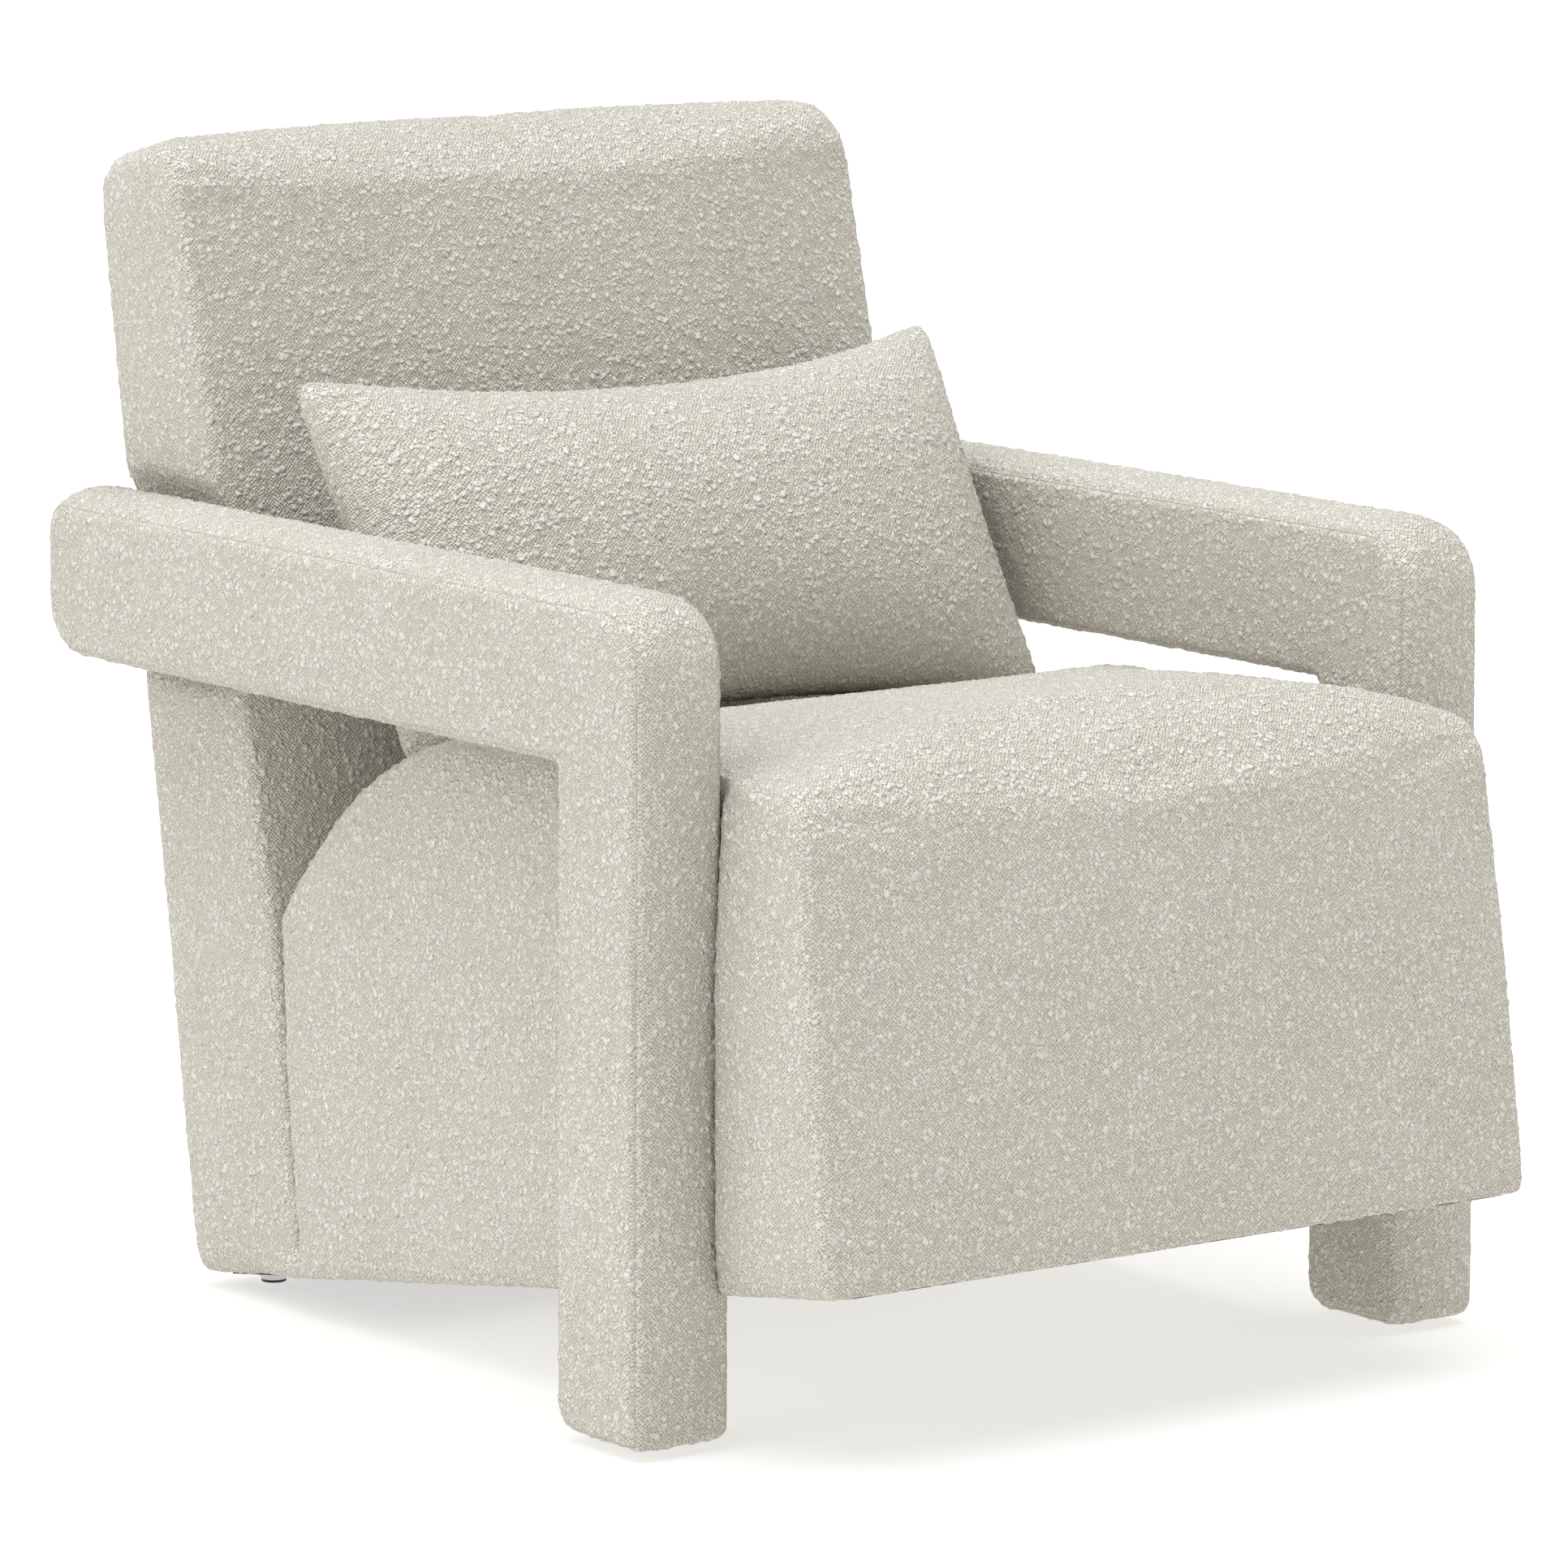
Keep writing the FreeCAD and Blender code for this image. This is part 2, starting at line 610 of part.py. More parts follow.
def pillow_solid(inset):
    """A knife-edged pad, thick in the middle and drawn to an edge all round."""
    wide = PILLOW_WIDE - 4 * inset
    tall = PILLOW_TALL - 4 * inset
    thick = PILLOW_THICK - 2 * inset
    lying = lens(tall, wide, thick * PILLOW_TAPER)
    lying.rotate(V(0, 0, 0), V(0, 1, 0), 90)
    return lens(wide, tall, thick).common(lying)


def leaned(shape):
    moved = shape.copy()
    moved.rotate(V(0, 0, 0), V(1, 0, 0), -PILLOW_LEAN)
    moved.translate(V(0, PILLOW_Y, PILLOW_Z))
    return moved


# ---- the whole chair ----
def add_arms(parts):
    tools = bolt_holes() + dowels(DOWEL_R + FIT) + [frame_screw(FIT)]
    tools += glide_holes(*GLIDES["front_right"])
    for name, shape in arm_nodes().items():
        right = drilled(shape, tools)
        parts[name + "_right"] = right
        parts[name + "_left"] = mirrored(right)
    parts["arm_dowels"] = both_sides(dowels(DOWEL_R))
    parts["arm_frame_screws"] = both_sides([frame_screw(0)])
    parts["arm_bolts"] = both_sides([make_bolt(y, z) for y, z in ARM_BOLTS])
    parts["bolt_washers"] = both_sides([make_washer(y, z) for y, z in ARM_BOLTS])
    parts["t_nuts"] = both_sides([make_tnut(y, z) for y, z in ARM_BOLTS])


def add_unit(parts):
    tools = bolt_holes()
    tools += [mirrored(tool) for tool in tools]
    tools += glide_holes(*GLIDES["rear_left"]) + glide_holes(*GLIDES["rear_right"])
    for nodes in (frame_nodes(), spring_nodes(), foam_nodes(), cover_nodes()):
        for name, shape in nodes.items():
            parts[name] = drilled(tipped(shape), tools)


def add_glides(parts):
    front = glide_socket(LEG_BOTTOM)
    front.translate(V(*GLIDES["front_right"], 0))
    parts["glide_sockets"] = both_sides([front, rear_socket(*GLIDES["rear_right"])])
    for name, (x, y) in GLIDES.items():
        for kind, shape in (("foot", glide_foot()), ("stem", glide_stem())):
            shape.translate(V(x, y, 0))
            parts["glide_" + kind + "_" + name] = shape


def add_pillow(parts):
    insert = pillow_solid(PILLOW_CLOTH)
    parts["pillow_cover"] = leaned(pillow_solid(0).cut(insert))
    parts["pillow_insert"] = leaned(insert)


def centre(parts):
    """Moves the chair so that the origin is under the middle of its box."""
    box = Part.makeCompound(list(parts.values())).optimalBoundingBox(False, False)
    shift = V(0, -(box.YMin + box.YMax) / 2, 0)
    for shape in parts.values():
        shape.translate(shift)
    print("moved by", round(shift.y, 4))


chair = {}
add_arms(chair)
add_unit(chair)
add_glides(chair)
add_pillow(chair)
centre(chair)
for node, solid in chair.items():
    solid.exportStep("parts/" + node + ".step")
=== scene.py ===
import math

import bpy
import numpy as np
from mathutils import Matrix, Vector, kdtree, noise
from mathutils.bvhtree import BVHTree


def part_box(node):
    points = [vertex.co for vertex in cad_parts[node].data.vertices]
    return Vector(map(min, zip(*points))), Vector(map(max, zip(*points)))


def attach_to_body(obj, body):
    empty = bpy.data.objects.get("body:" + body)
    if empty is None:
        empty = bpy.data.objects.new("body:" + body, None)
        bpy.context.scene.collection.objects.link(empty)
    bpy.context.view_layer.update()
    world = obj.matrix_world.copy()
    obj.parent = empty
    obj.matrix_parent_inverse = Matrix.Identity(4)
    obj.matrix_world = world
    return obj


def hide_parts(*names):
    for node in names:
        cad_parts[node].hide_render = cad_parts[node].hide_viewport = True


noise.seed_set(1)                        # noise_vector otherwise starts from the clock
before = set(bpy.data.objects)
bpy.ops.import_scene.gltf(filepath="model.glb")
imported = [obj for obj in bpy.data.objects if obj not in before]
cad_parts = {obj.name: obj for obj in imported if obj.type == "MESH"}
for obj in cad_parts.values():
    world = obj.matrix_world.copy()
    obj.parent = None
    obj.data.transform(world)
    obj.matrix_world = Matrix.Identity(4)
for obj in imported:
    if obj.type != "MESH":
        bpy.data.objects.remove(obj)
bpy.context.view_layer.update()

# Everything is in metres. The seat and back are drawn as (u, w) outlines in the unit's own
# frame, as if it stood square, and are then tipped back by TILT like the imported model.

# ---- places that come from the frame ----
ARM_LOW, ARM_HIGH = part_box("arm_cover_right")
POST_LOW, POST_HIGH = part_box("leg_post_right")
BEAM_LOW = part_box("arm_beam_right")[0]
INNER = ARM_LOW.x                        # inner faces of the arms
HALF = ARM_HIGH.x                        # outer faces of the arms
ARM_PADDING = POST_LOW.y - ARM_LOW.y     # foam and cloth over the arm's wooden core
LEG_REAR = POST_HIGH.y + ARM_PADDING
ARM_UNDER_PADDING = 0.012
ARM_UNDER = BEAM_LOW.z - ARM_UNDER_PADDING
EDGE_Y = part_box("seat_cover")[0].y       # the seat's front bottom edge
EDGE_Z = 0.129                           # and its height
TILT = math.radians(8.7)

# ---- arms ----
ARM_EDGE = 0.007                         # round of the long edges, where the seams run
ARM_PROUD = 0.002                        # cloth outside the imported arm
ARM_CROWN = 0.004                        # bulge of the band between the seams
ARM_TOP_CROWN = 0.009                    # and of its stretch along the top
ARM_FRONT_ROUND = 0.042                  # side view: top front corner
ARM_TOP_ROUND = 0.022                    # top rear corner
ARM_REAR_ROUND = 0.038                   # bottom rear corner
ARM_STEP = 0.004                         # between the points of its outline
ARM_RINGS = 13                           # across the band
LEG_DROP = 0.004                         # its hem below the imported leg
LEG_FRONT_ROUND = 0.006
LEG_REAR_ROUND = 0.020
LEG_BULGE = 0.0055                       # towards the middle, where no seat presses
LEG_FLARE = 0.003                        # outwards, at the floor
LEG_GATHER = 0.004                       # its sides draw in at the hem by this much
GATHER_TALL = 0.016
GATHER_WIDE = 0.03                       # from the leg's middle to where it draws in fully
CROOK_ROUND = 0.005                      # where the leg meets the arm

# ---- seat and back ----
UNIT_HALF = 0.3075                       # side seams
PRESSED = 0.0006                         # clear of the arms' inner faces where they touch
LEG_GAP = 0.0035                         # between the seat and the legs
SIDE_SWELL = 0.004                       # how far the sides may swell where nothing is near
NOSE_TAPER = 0.0065                      # the seat is narrower at the top by this, each side
LOW_WIDENING = 0.0015                    # and wider by this low down
CUSHION_STEP = 0.006
CUSHION_RINGS = 41
SEAT_FLATNESS = 6                        # how late its outline changes from middle to side
BACK_FLATNESS = 3
HEM_HALF = 0.29                          # the stapled edges under the unit run this far
HEM_STEP = 0.004

# ---- pillow ----
PILLOW_HALF_WIDE = 0.2885
PILLOW_HALF_TALL = 0.157
PILLOW_HALF_THICK = 0.080
PILLOW_SAG = 0.035                       # how far its long edges draw in between the ears
PILLOW_WAIST = 0.013                     # and its short edges
PILLOW_FULLNESS = 0.52                   # lower is fuller towards its rim
PILLOW_EAR = 0.009                       # its corners are blunted by this
PILLOW_PERK = 0.007                      # its right ear stands this much higher
PILLOW_LEAN = math.radians(29)
PILLOW_X = -0.0015
PILLOW_Y = 0.150
PILLOW_Z = 0.550
PILLOW_GRID = (91, 49)                   # points across and up
SAME_POINT = 0.0001                      # points of its rim nearer than this are one
RIM_STEP = 0.0005                        # and the seam's points are no nearer than this

# ---- cloth ----
ARM_VOXEL = 0.0046
UNIT_VOXEL = 0.0054
PILLOW_VOXEL = 0.0044
SIM_FRAMES = 20
UNIT_PRESSURE = 4.0                      # of the seat, the back and the pillow
UNIT_CAP = 0.008                         # no point of theirs moves further than this
ARM_PRESSURE = 12.0
ARM_CAP = 0.003
SEAM_HOLD = 0.005                        # the cloth is held this close to a seam while it swells
GROOVE_WIDE = 0.003
GROOVE_DEEP = 0.0018
THREAD_SUNK = GROOVE_DEEP * 0.6
THREAD_R = 0.0005
STITCH = 0.006
NUB_CELL = 0.0085                        # between the nubs that are in the mesh
NUB_TALL = 0.0013
WEAVE = 0.0029                           # pitch of the ground weave in the material

ROUND = (0, 22, 45, 68, 90)              # steps round an edge, in degrees


# ---- outlines ----
def line(start, end, count):
    """Points from start towards end, without the end."""
    start, end = np.array(start), np.array(end)
    return [start + (end - start) * i / count for i in range(count)]


def arc(start, middle, end, count):
    """Points along the arc through three points, without the last."""
    a, b, c = (complex(*p) for p in (start, middle, end))
    w = (c - a) / (b - a)
    centre = (b - a) * (w - abs(w) ** 2) / (w - w.conjugate()) + a
    centre = centre.real + 1j * centre.imag
    turn = math.remainder(np.angle((c - centre) / (a - centre)), 2 * math.pi)
    part = math.remainder(np.angle((b - centre) / (a - centre)), 2 * math.pi)
    if turn * part < 0:
        turn += math.copysign(2 * math.pi, part)
    points = [centre + (a - centre) * np.exp(1j * turn * i / count) for i in range(count)]
    return [np.array([p.real, p.imag]) for p in points]


def rounded(corners, radii, count=8):
    """A closed outline through corners, each rounded to its own radius."""
    points = []
    for i, here in enumerate(corners):
        here = np.array(here)
        before = np.array(corners[i - 1]) - here
        after = np.array(corners[(i + 1) % len(corners)]) - here
        before, after = before / np.linalg.norm(before), after / np.linalg.norm(after)
        half = math.acos(np.clip(before @ after, -1, 1)) / 2
        cut = radii[i] / math.tan(half)
        middle = (before + after) / np.linalg.norm(before + after)
        bend = here + middle * (radii[i] / math.sin(half) - radii[i])
        start, end = here + before * cut, here + after * cut
        points += arc(start, bend, end, count)
        points.append(end)
    return points


def evened(points, step, count=None):
    """The closed outline again, with points about a step apart, or as many as count."""
    loop = np.array(points + [points[0]])
    run = np.concatenate([[0], np.cumsum(np.linalg.norm(np.diff(loop, axis=0), axis=1))])
    where = np.linspace(0, run[-1], count or int(run[-1] / step), endpoint=False)
    return np.stack([np.interp(where, run, loop[:, k]) for k in range(2)], axis=1)


def tipped(points):
    """(x, u, w) points of the square unit, in the chair's frame."""
    x, u, w = np.array(points).T
    y = EDGE_Y + u * math.cos(TILT) + w * math.sin(TILT)
    z = EDGE_Z - u * math.sin(TILT) + w * math.cos(TILT)
    return np.column_stack([x, y, z])


def step_up(value, start, end):
    """From 0 to 1, smoothly, as value goes from start to end."""
    t = np.clip((value - start) / (end - start), 0, 1)
    return t * t * (3 - 2 * t)


def inward(outline):
    """Unit normals of a closed outline, pointing into it."""
    along = np.roll(outline, -1, axis=0) - np.roll(outline, 1, axis=0)
    y, z = outline.T
    area = np.sum(y * np.roll(z, -1) - z * np.roll(y, -1))
    side = np.stack([-along[:, 1], along[:, 0]], axis=1) * np.sign(area)
    return side / np.linalg.norm(side, axis=1)[:, None]


def edge_ring(outline, face, side, radius, angle):
    """The outline's ring on the rounded edge of an end face: angle 90 is on the outline's own
    surface and 0 on the end face. side is +1 or -1, the way the end face looks along X."""
    radius = np.broadcast_to(radius, len(outline))
    inset = radius * (1 - math.sin(math.radians(angle)))
    back = radius * (1 - math.cos(math.radians(angle)))
    ring = outline + inward(outline) * inset[:, None]
    return np.column_stack([face - side * back, ring])


# ---- meshes ----
def new_piece(name, vertices, faces):
    mesh = bpy.data.meshes.new(name)
    mesh.from_pydata([tuple(v) for v in vertices], [], [tuple(f) for f in faces])
    mesh.update()
    piece = bpy.data.objects.new(name, mesh)
    bpy.context.scene.collection.objects.link(piece)
    return piece


def loft(name, rings):
    """A closed mesh through rings of points along +X, with its two ends filled."""
    count = len(rings[0])
    faces = []
    for k in range(len(rings) - 1):
        for i in range(count):
            j = (i + 1) % count
            faces.append((k * count + i, k * count + j, (k + 1) * count + j, (k + 1) * count + i))
    last = (len(rings) - 1) * count
    faces.append(list(range(count))[::-1])
    faces.append([last + i for i in range(count)])
    return new_piece(name, np.concatenate(rings), faces)


def tube(name, paths, radius_at, sides=8):
    """Closed tubes along closed or open paths; radius_at gives the radius at a distance."""
    vertices, faces = [], []
    for path, closed in paths:
        path = np.array(path)
        path = path[np.linalg.norm(path - np.roll(path, 1, axis=0), axis=1) > 1e-5]
        ahead = np.roll(path, -1, axis=0) - np.roll(path, 1, axis=0)
        if not closed:
            ahead[0], ahead[-1] = path[1] - path[0], path[-1] - path[-2]
        ahead /= np.linalg.norm(ahead, axis=1)[:, None]
        steps = np.linalg.norm(np.diff(path, axis=0), axis=1)
        run = np.concatenate([[0], np.cumsum(steps)])
        across = np.cross(ahead, (0.31, 0.52, 0.79))
        across /= np.linalg.norm(across, axis=1)[:, None]
        up = np.cross(across, ahead)
        base = len(vertices)
        for p, a, b, s in zip(path, across, up, run):
            for k in range(sides):
                t = 2 * math.pi * k / sides
                vertices.append(p + (a * math.cos(t) + b * math.sin(t)) * radius_at(s))
        rings = len(path)
        for i in range(rings if closed else rings - 1):
            j = (i + 1) % rings
            for k in range(sides):
                m = (k + 1) % sides
                faces.append((base + i * sides + k, base + i * sides + m,
                              base + j * sides + m, base + j * sides + k))
        if not closed:
            faces.append([base + k for k in range(sides)][::-1])
            faces.append([base + (rings - 1) * sides + k for k in range(sides)])
    return new_piece(name, vertices, faces)


def points_of(mesh):
    flat = np.empty(len(mesh.vertices) * 3)
    mesh.vertices.foreach_get("co", flat)
    return flat.reshape(-1, 3)


def normals_of(mesh):
    flat = np.empty(len(mesh.vertices) * 3)
    mesh.vertices.foreach_get("normal", flat)
    return flat.reshape(-1, 3)


def move_to(piece, points):
    piece.data.vertices.foreach_set("co", np.ascontiguousarray(points).ravel())
    piece.data.update()


def baked(piece):
    """Applies the piece's modifiers, whatever they are."""
    graph = bpy.context.evaluated_depsgraph_get()
    mesh = bpy.data.meshes.new_from_object(piece.evaluated_get(graph))
    old = piece.data
    piece.modifiers.clear()
    piece.data = mesh
    bpy.data.meshes.remove(old)


def remeshed(piece, voxel):
    remesh = piece.modifiers.new("remesh", "REMESH")
    remesh.mode = "VOXEL"
    remesh.voxel_size = voxel
    baked(piece)


def subdivided(piece):
    smooth = piece.modifiers.new("subdivide", "SUBSURF")
    smooth.levels = smooth.render_levels = 1
    baked(piece)


def seam_tree(seams):
    points = np.concatenate([path for path, _ in seams])
    tree = kdtree.KDTree(len(points))
    for i, p in enumerate(points):
        tree.insert(p, i)
    tree.balance()
    return tree


def seam_distances(points, tree):
    return np.array([tree.find(p)[2] for p in points])


def swollen(piece, seams, cap, pressure):
    """The cloth swells under pressure between its seams, no point by more than its cap."""
    before = points_of(piece.data)
    held = np.flatnonzero(seam_distances(before, seam_tree(seams)) < SEAM_HOLD)
    group = piece.vertex_groups.new(name="seams")
    group.add([int(i) for i in held], 1.0, "REPLACE")
    cloth = piece.modifiers.new("cloth", "CLOTH")
    cloth.settings.use_pressure = True
    cloth.settings.uniform_pressure_force = pressure
    cloth.settings.effector_weights.gravity = 0
    cloth.settings.quality = 4
    cloth.settings.vertex_group_mass = "seams"
    cloth.point_cache.frame_start = 1
    cloth.point_cache.frame_end = SIM_FRAMES
    for step in range(1, SIM_FRAMES + 1):
        bpy.context.scene.frame_set(step)
    baked(piece)
    bpy.context.scene.frame_set(1)
    move = points_of(piece.data) - before
    size = np.linalg.norm(move, axis=1) + 1e-9
    move *= (cap * np.tanh(size / cap) / size)[:, None]
    move_to(piece, before + move)


def nub_height(p):
    """Boucle loops, from 0 to about 1: soft domes of many sizes, with bare ground between."""
    q = p + noise.noise_vector(p / 0.014) * 0.003
    distances, cells = noise.voronoi(q / NUB_CELL)
    size = 0.42 + 0.30 * (0.5 + 0.5 * noise.noise(cells[0] * 9.7))
    dome = max(0.0, 1 - (distances[0] / size) ** 2)
    return dome * dome * size / 0.6


def upholstered(piece, seams):
    """Presses the seams in and raises the cloth's nubs, which are lower beside a seam."""
    points, normals = points_of(piece.data), normals_of(piece.data)
    if seams:
        distance = seam_distances(points, seam_tree(seams))
        pressed = np.exp(-(distance / GROOVE_WIDE) ** 2)
    else:
        pressed = np.zeros(len(points))
    nub = np.array([nub_height(Vector(p)) for p in points])
    height = nub * NUB_TALL * (1 - 0.75 * pressed) - GROOVE_DEEP * pressed
    move_to(piece, points + normals * height[:, None])
    piece.data.shade_smooth()


def stitched(name, seams, surface, depth):
    """Thread along the seams, its stitches showing as beads, laid in the cloth's surface."""
    tree = BVHTree.FromObject(surface, bpy.context.evaluated_depsgraph_get())
    laid = []
    for path, closed in seams:
        found = [tree.find_nearest(Vector(p)) for p in path]
        laid.append((np.array([f[0] - f[1] * depth for f in found]), closed))
    bead = lambda s: THREAD_R * (0.72 + 0.28 * math.cos(2 * math.pi * s / STITCH))
    return tube(name, laid, bead)


# ---- the pieces ----
def arm_outline():
    """(y, z) side view of the arm and leg."""
    front, rear = ARM_LOW.y - ARM_PROUD, ARM_HIGH.y + ARM_PROUD * 2
    leg_rear = LEG_REAR + ARM_PROUD
    low, high = ARM_LOW.z - LEG_DROP, ARM_HIGH.z
    corners = [(front, low), (front, high), (rear, high), (rear, ARM_UNDER),
               (leg_rear, ARM_UNDER), (leg_rear, low)]
    radii = [LEG_FRONT_ROUND, ARM_FRONT_ROUND, ARM_TOP_ROUND,
             ARM_REAR_ROUND, CROOK_ROUND, LEG_REAR_ROUND]
    return evened(rounded(corners, radii), ARM_STEP)


def arm_shape(points, side):
    """The leg's bulge towards the middle, its flare outwards and its drawn-in hem."""
    x, z = points[:, 0].copy(), points[:, 2]
    middle = side * (INNER + HALF) / 2
    free = 1 - step_up(z, EDGE_Z - 0.025, EDGE_Z + 0.005)
    inner_side = step_up((middle - x) * side, 0, 0.01)
    x -= side * LEG_BULGE * free * inner_side
    x += side * LEG_FLARE * (1 - step_up(z, 0, ARM_HIGH.z)) * (1 - inner_side)
    t = np.clip((z - ARM_LOW.z + LEG_DROP) / GATHER_TALL, 0, 1)
    drawn = LEG_GATHER * (1 - np.sqrt(1 - (1 - t) ** 2))
    x -= np.sign(x - middle) * drawn * np.clip(np.abs(x - middle) / GATHER_WIDE, 0, 1)
    return np.column_stack([x, points[:, 1:]])


def make_arm(side):
    """The outline carried across the arm, its band crowned between two seams."""
    x0, x1 = sorted((side * (INNER + PRESSED), side * (HALF + ARM_PROUD)))
    name = "arm_upholstery_" + ("right" if side > 0 else "left")
    outline = arm_outline()
    top = step_up(outline[:, 1], ARM_HIGH.z - 0.03, ARM_HIGH.z)
    crown = (ARM_CROWN + (ARM_TOP_CROWN - ARM_CROWN) * top) * step_up(outline[:, 1], 0, 0.04)
    rings = [edge_ring(outline, x0, -1, ARM_EDGE, a) for a in ROUND]
    for t in np.linspace(-1, 1, ARM_RINGS)[1:-1]:
        x = (x0 + x1) / 2 + t * ((x1 - x0) / 2 - ARM_EDGE)
        ring = outline - inward(outline) * (crown * (1 - t * t))[:, None]
        rings.append(np.column_stack([np.full(len(ring), x), ring]))
    rings += [edge_ring(outline, x1, 1, ARM_EDGE, a) for a in ROUND[::-1]]
    seams = [edge_ring(outline, x, s, ARM_EDGE, 45) for x, s in ((x0, -1), (x1, 1))]
    seams = [(arm_shape(path, side), True) for path in seams]
    piece = loft(name, [arm_shape(ring, side) for ring in rings])
    remeshed(piece, ARM_VOXEL)
    swollen(piece, seams, ARM_CAP, ARM_PRESSURE)
    subdivided(piece)
    thread = stitched(name.replace("upholstery", "seams"), seams, piece, THREAD_SUNK)
    upholstered(piece, seams)
    return piece, thread


def seat_outline(middle):
    """(u, w) side view of the seat, at its side seams (middle 0) or its middle (1)."""
    mix = lambda a, b: tuple(np.array(a) * (1 - middle) + np.array(b) * middle)
    heel = mix((0.0, 0.0), (-0.003, 0.0))
    lip = mix((-0.006, 0.303), (-0.010, 0.320))
    nose = mix((0.003, 0.332), (0.008, 0.360))
    brow = mix((0.038, 0.349), (0.054, 0.378))
    rise = mix((0.180, 0.373), (0.190, 0.383))
    crest = mix((0.340, 0.384), (0.340, 0.381))
    turn = mix((0.545, 0.352), (0.520, 0.375))
    end = mix((0.648, 0.262), (0.655, 0.360))
    foot = (0.6585, 0.0)
    points = line(heel, lip, 40) + arc(lip, nose, brow, 10) + arc(brow, rise, crest, 40)
    return points + arc(crest, turn, end, 50) + line(end, foot, 40) + line(foot, heel, 60)


def seat_edge(u, w):
    """Round of the seat's side edges: tight at the front seams, full along the top, and none
    low down against the back."""
    top = step_up(w, 0.24, 0.33) * step_up(u, -0.01, 0.05)
    rear = step_up(u, 0.63, 0.65)
    hem_round = 0.003 * (1 - step_up(w, 0, 0.03)) * (1 - rear)
    along_back = rear * (0.010 * step_up(w, 0.14, 0.24) - 0.004)
    return 0.006 + hem_round + 0.018 * top * (1 - rear) + along_back


def back_outline(middle):
    """(u, w) side view of the back, at its side seams (middle 0) or its middle (1)."""
    mix = lambda a, b: tuple(np.array(a) * (1 - middle) + np.array(b) * middle)
    foot = (0.6545, 0.0)
    knee = mix((0.6540, 0.240), (0.647, 0.240))
    face = mix((0.672, 0.560), (0.654, 0.560))
    brow = mix((0.692, 0.786), (0.688, 0.780))
    lip = mix((0.701, 0.822), (0.702, 0.822))
    top = mix((0.738, 0.837), (0.746, 0.840))
    rear_top = mix((0.779, 0.832), (0.782, 0.835))
    rear_turn = mix((0.797, 0.825), (0.799, 0.828))
    rear = mix((0.804, 0.803), (0.806, 0.805))
    rear_foot = (0.803, 0.0)
    points = line(foot, knee, 30) + arc(knee, face, brow, 70) + arc(brow, lip, top, 8)
    points += line(top, rear_top, 10) + arc(rear_top, rear_turn, rear, 6)
    return points + line(rear, rear_foot, 90) + line(rear_foot, foot, 16)


def back_edge(u, w):
    """Round of the back's side edges, fullest at the top corners."""
    seam_with_seat = 1 - step_up(w, 0.14, 0.26)
    front = 1 - step_up(u, 0.66, 0.72)
    hem_round = 0.008 * (1 - step_up(w, 0, 0.03))
    full = 0.011 + 0.011 * step_up(w, 0.78, 0.83) + hem_round
    return full * (1 - seam_with_seat * front) + 0.002


def cushion(name, outline, edge, flatness, sewn):
    """A block whose outline grows from its sides to its middle. Also gives the lines along its
    side edges, and the stretches of them that are seams."""
    side = evened(outline(0), CUSHION_STEP)
    radius = edge(*side.T)
    rings = [edge_ring(side, -UNIT_HALF, -1, radius, a) for a in ROUND]
    reach = UNIT_HALF - radius
    for t in np.linspace(-1, 1, CUSHION_RINGS)[1:-1]:
        ring = evened(outline(1 - abs(t) ** flatness), CUSHION_STEP, len(side))
        rings.append(np.column_stack([t * reach, ring]))
    rings += [edge_ring(side, UNIT_HALF, 1, radius, a) for a in ROUND[::-1]]
    edges = [tipped(edge_ring(side, s * UNIT_HALF, s, radius, 45)) for s in (-1, 1)]
    seam = sewn(*side.T)
    return loft(name, [tipped(ring) for ring in rings]), edges, [path[seam] for path in edges]


def side_room(points):
    """How far the unit's sides may swell: flat against legs and arms, free elsewhere."""
    y, z = points[:, 1], points[:, 2]
    by_leg = step_up(y, ARM_LOW.y - 0.008, ARM_LOW.y + 0.004)
    by_leg = by_leg * (1 - step_up(y, LEG_REAR, LEG_REAR + 0.03))
    by_arm = step_up(z, ARM_UNDER - 0.03, ARM_UNDER)
    by_arm = by_arm * (1 - step_up(z, ARM_HIGH.z, ARM_HIGH.z + 0.03))
    near = np.clip(by_leg * step_up(-z, -ARM_HIGH.z, -ARM_UNDER) + by_arm, 0, 1)
    touching = INNER - PRESSED - (LEG_GAP - PRESSED) * by_leg
    return touching + (UNIT_HALF + SIDE_SWELL - touching) * (1 - near)


def pressed_in(points):
    """The unit's points, narrower towards the seat's top and kept clear of the arms and legs."""
    room = side_room(points)
    y, z = points[:, 1], points[:, 2]
    taper = step_up(z, 0.27, 0.47) * (1 - step_up(y, LEG_REAR, LEG_REAR + 0.25))
    low = 1 - step_up(z, EDGE_Z, 0.28)
    x = points[:, 0] * (1 - (NOSE_TAPER * taper - LOW_WIDENING * low) / UNIT_HALF)
    return np.column_stack([np.clip(x, -room, room), points[:, 1:]])


def hem():
    """The cover's edges under the unit, which are stapled to its frame."""
    xs = np.arange(-HEM_HALF, HEM_HALF + 0.001, HEM_STEP)
    us = (0.0, 0.05, 0.60, 0.65, 0.66, 0.71, 0.76, 0.80)
    return [(tipped([(x, u, 0.0) for x in xs]), False) for u in us]


def make_unit_part(name, *shape):
    piece, edges, seams = cushion(name + "_upholstery", *shape)
    remeshed(piece, UNIT_VOXEL)
    swollen(piece, [(path, True) for path in edges] + hem(), UNIT_CAP, UNIT_PRESSURE)
    move_to(piece, pressed_in(points_of(piece.data)))
    seams = [(pressed_in(path), False) for path in seams]
    subdivided(piece)
    thread = stitched(name + "_seams", seams, piece, THREAD_SUNK)
    upholstered(piece, seams)
    return piece, thread


def make_seat():
    """Its seams are the two upright ones in front."""
    sewn = lambda u, w: (u < 0.05) & (w > 0.004)
    return make_unit_part("seat", seat_outline, seat_edge, SEAT_FLATNESS, sewn)


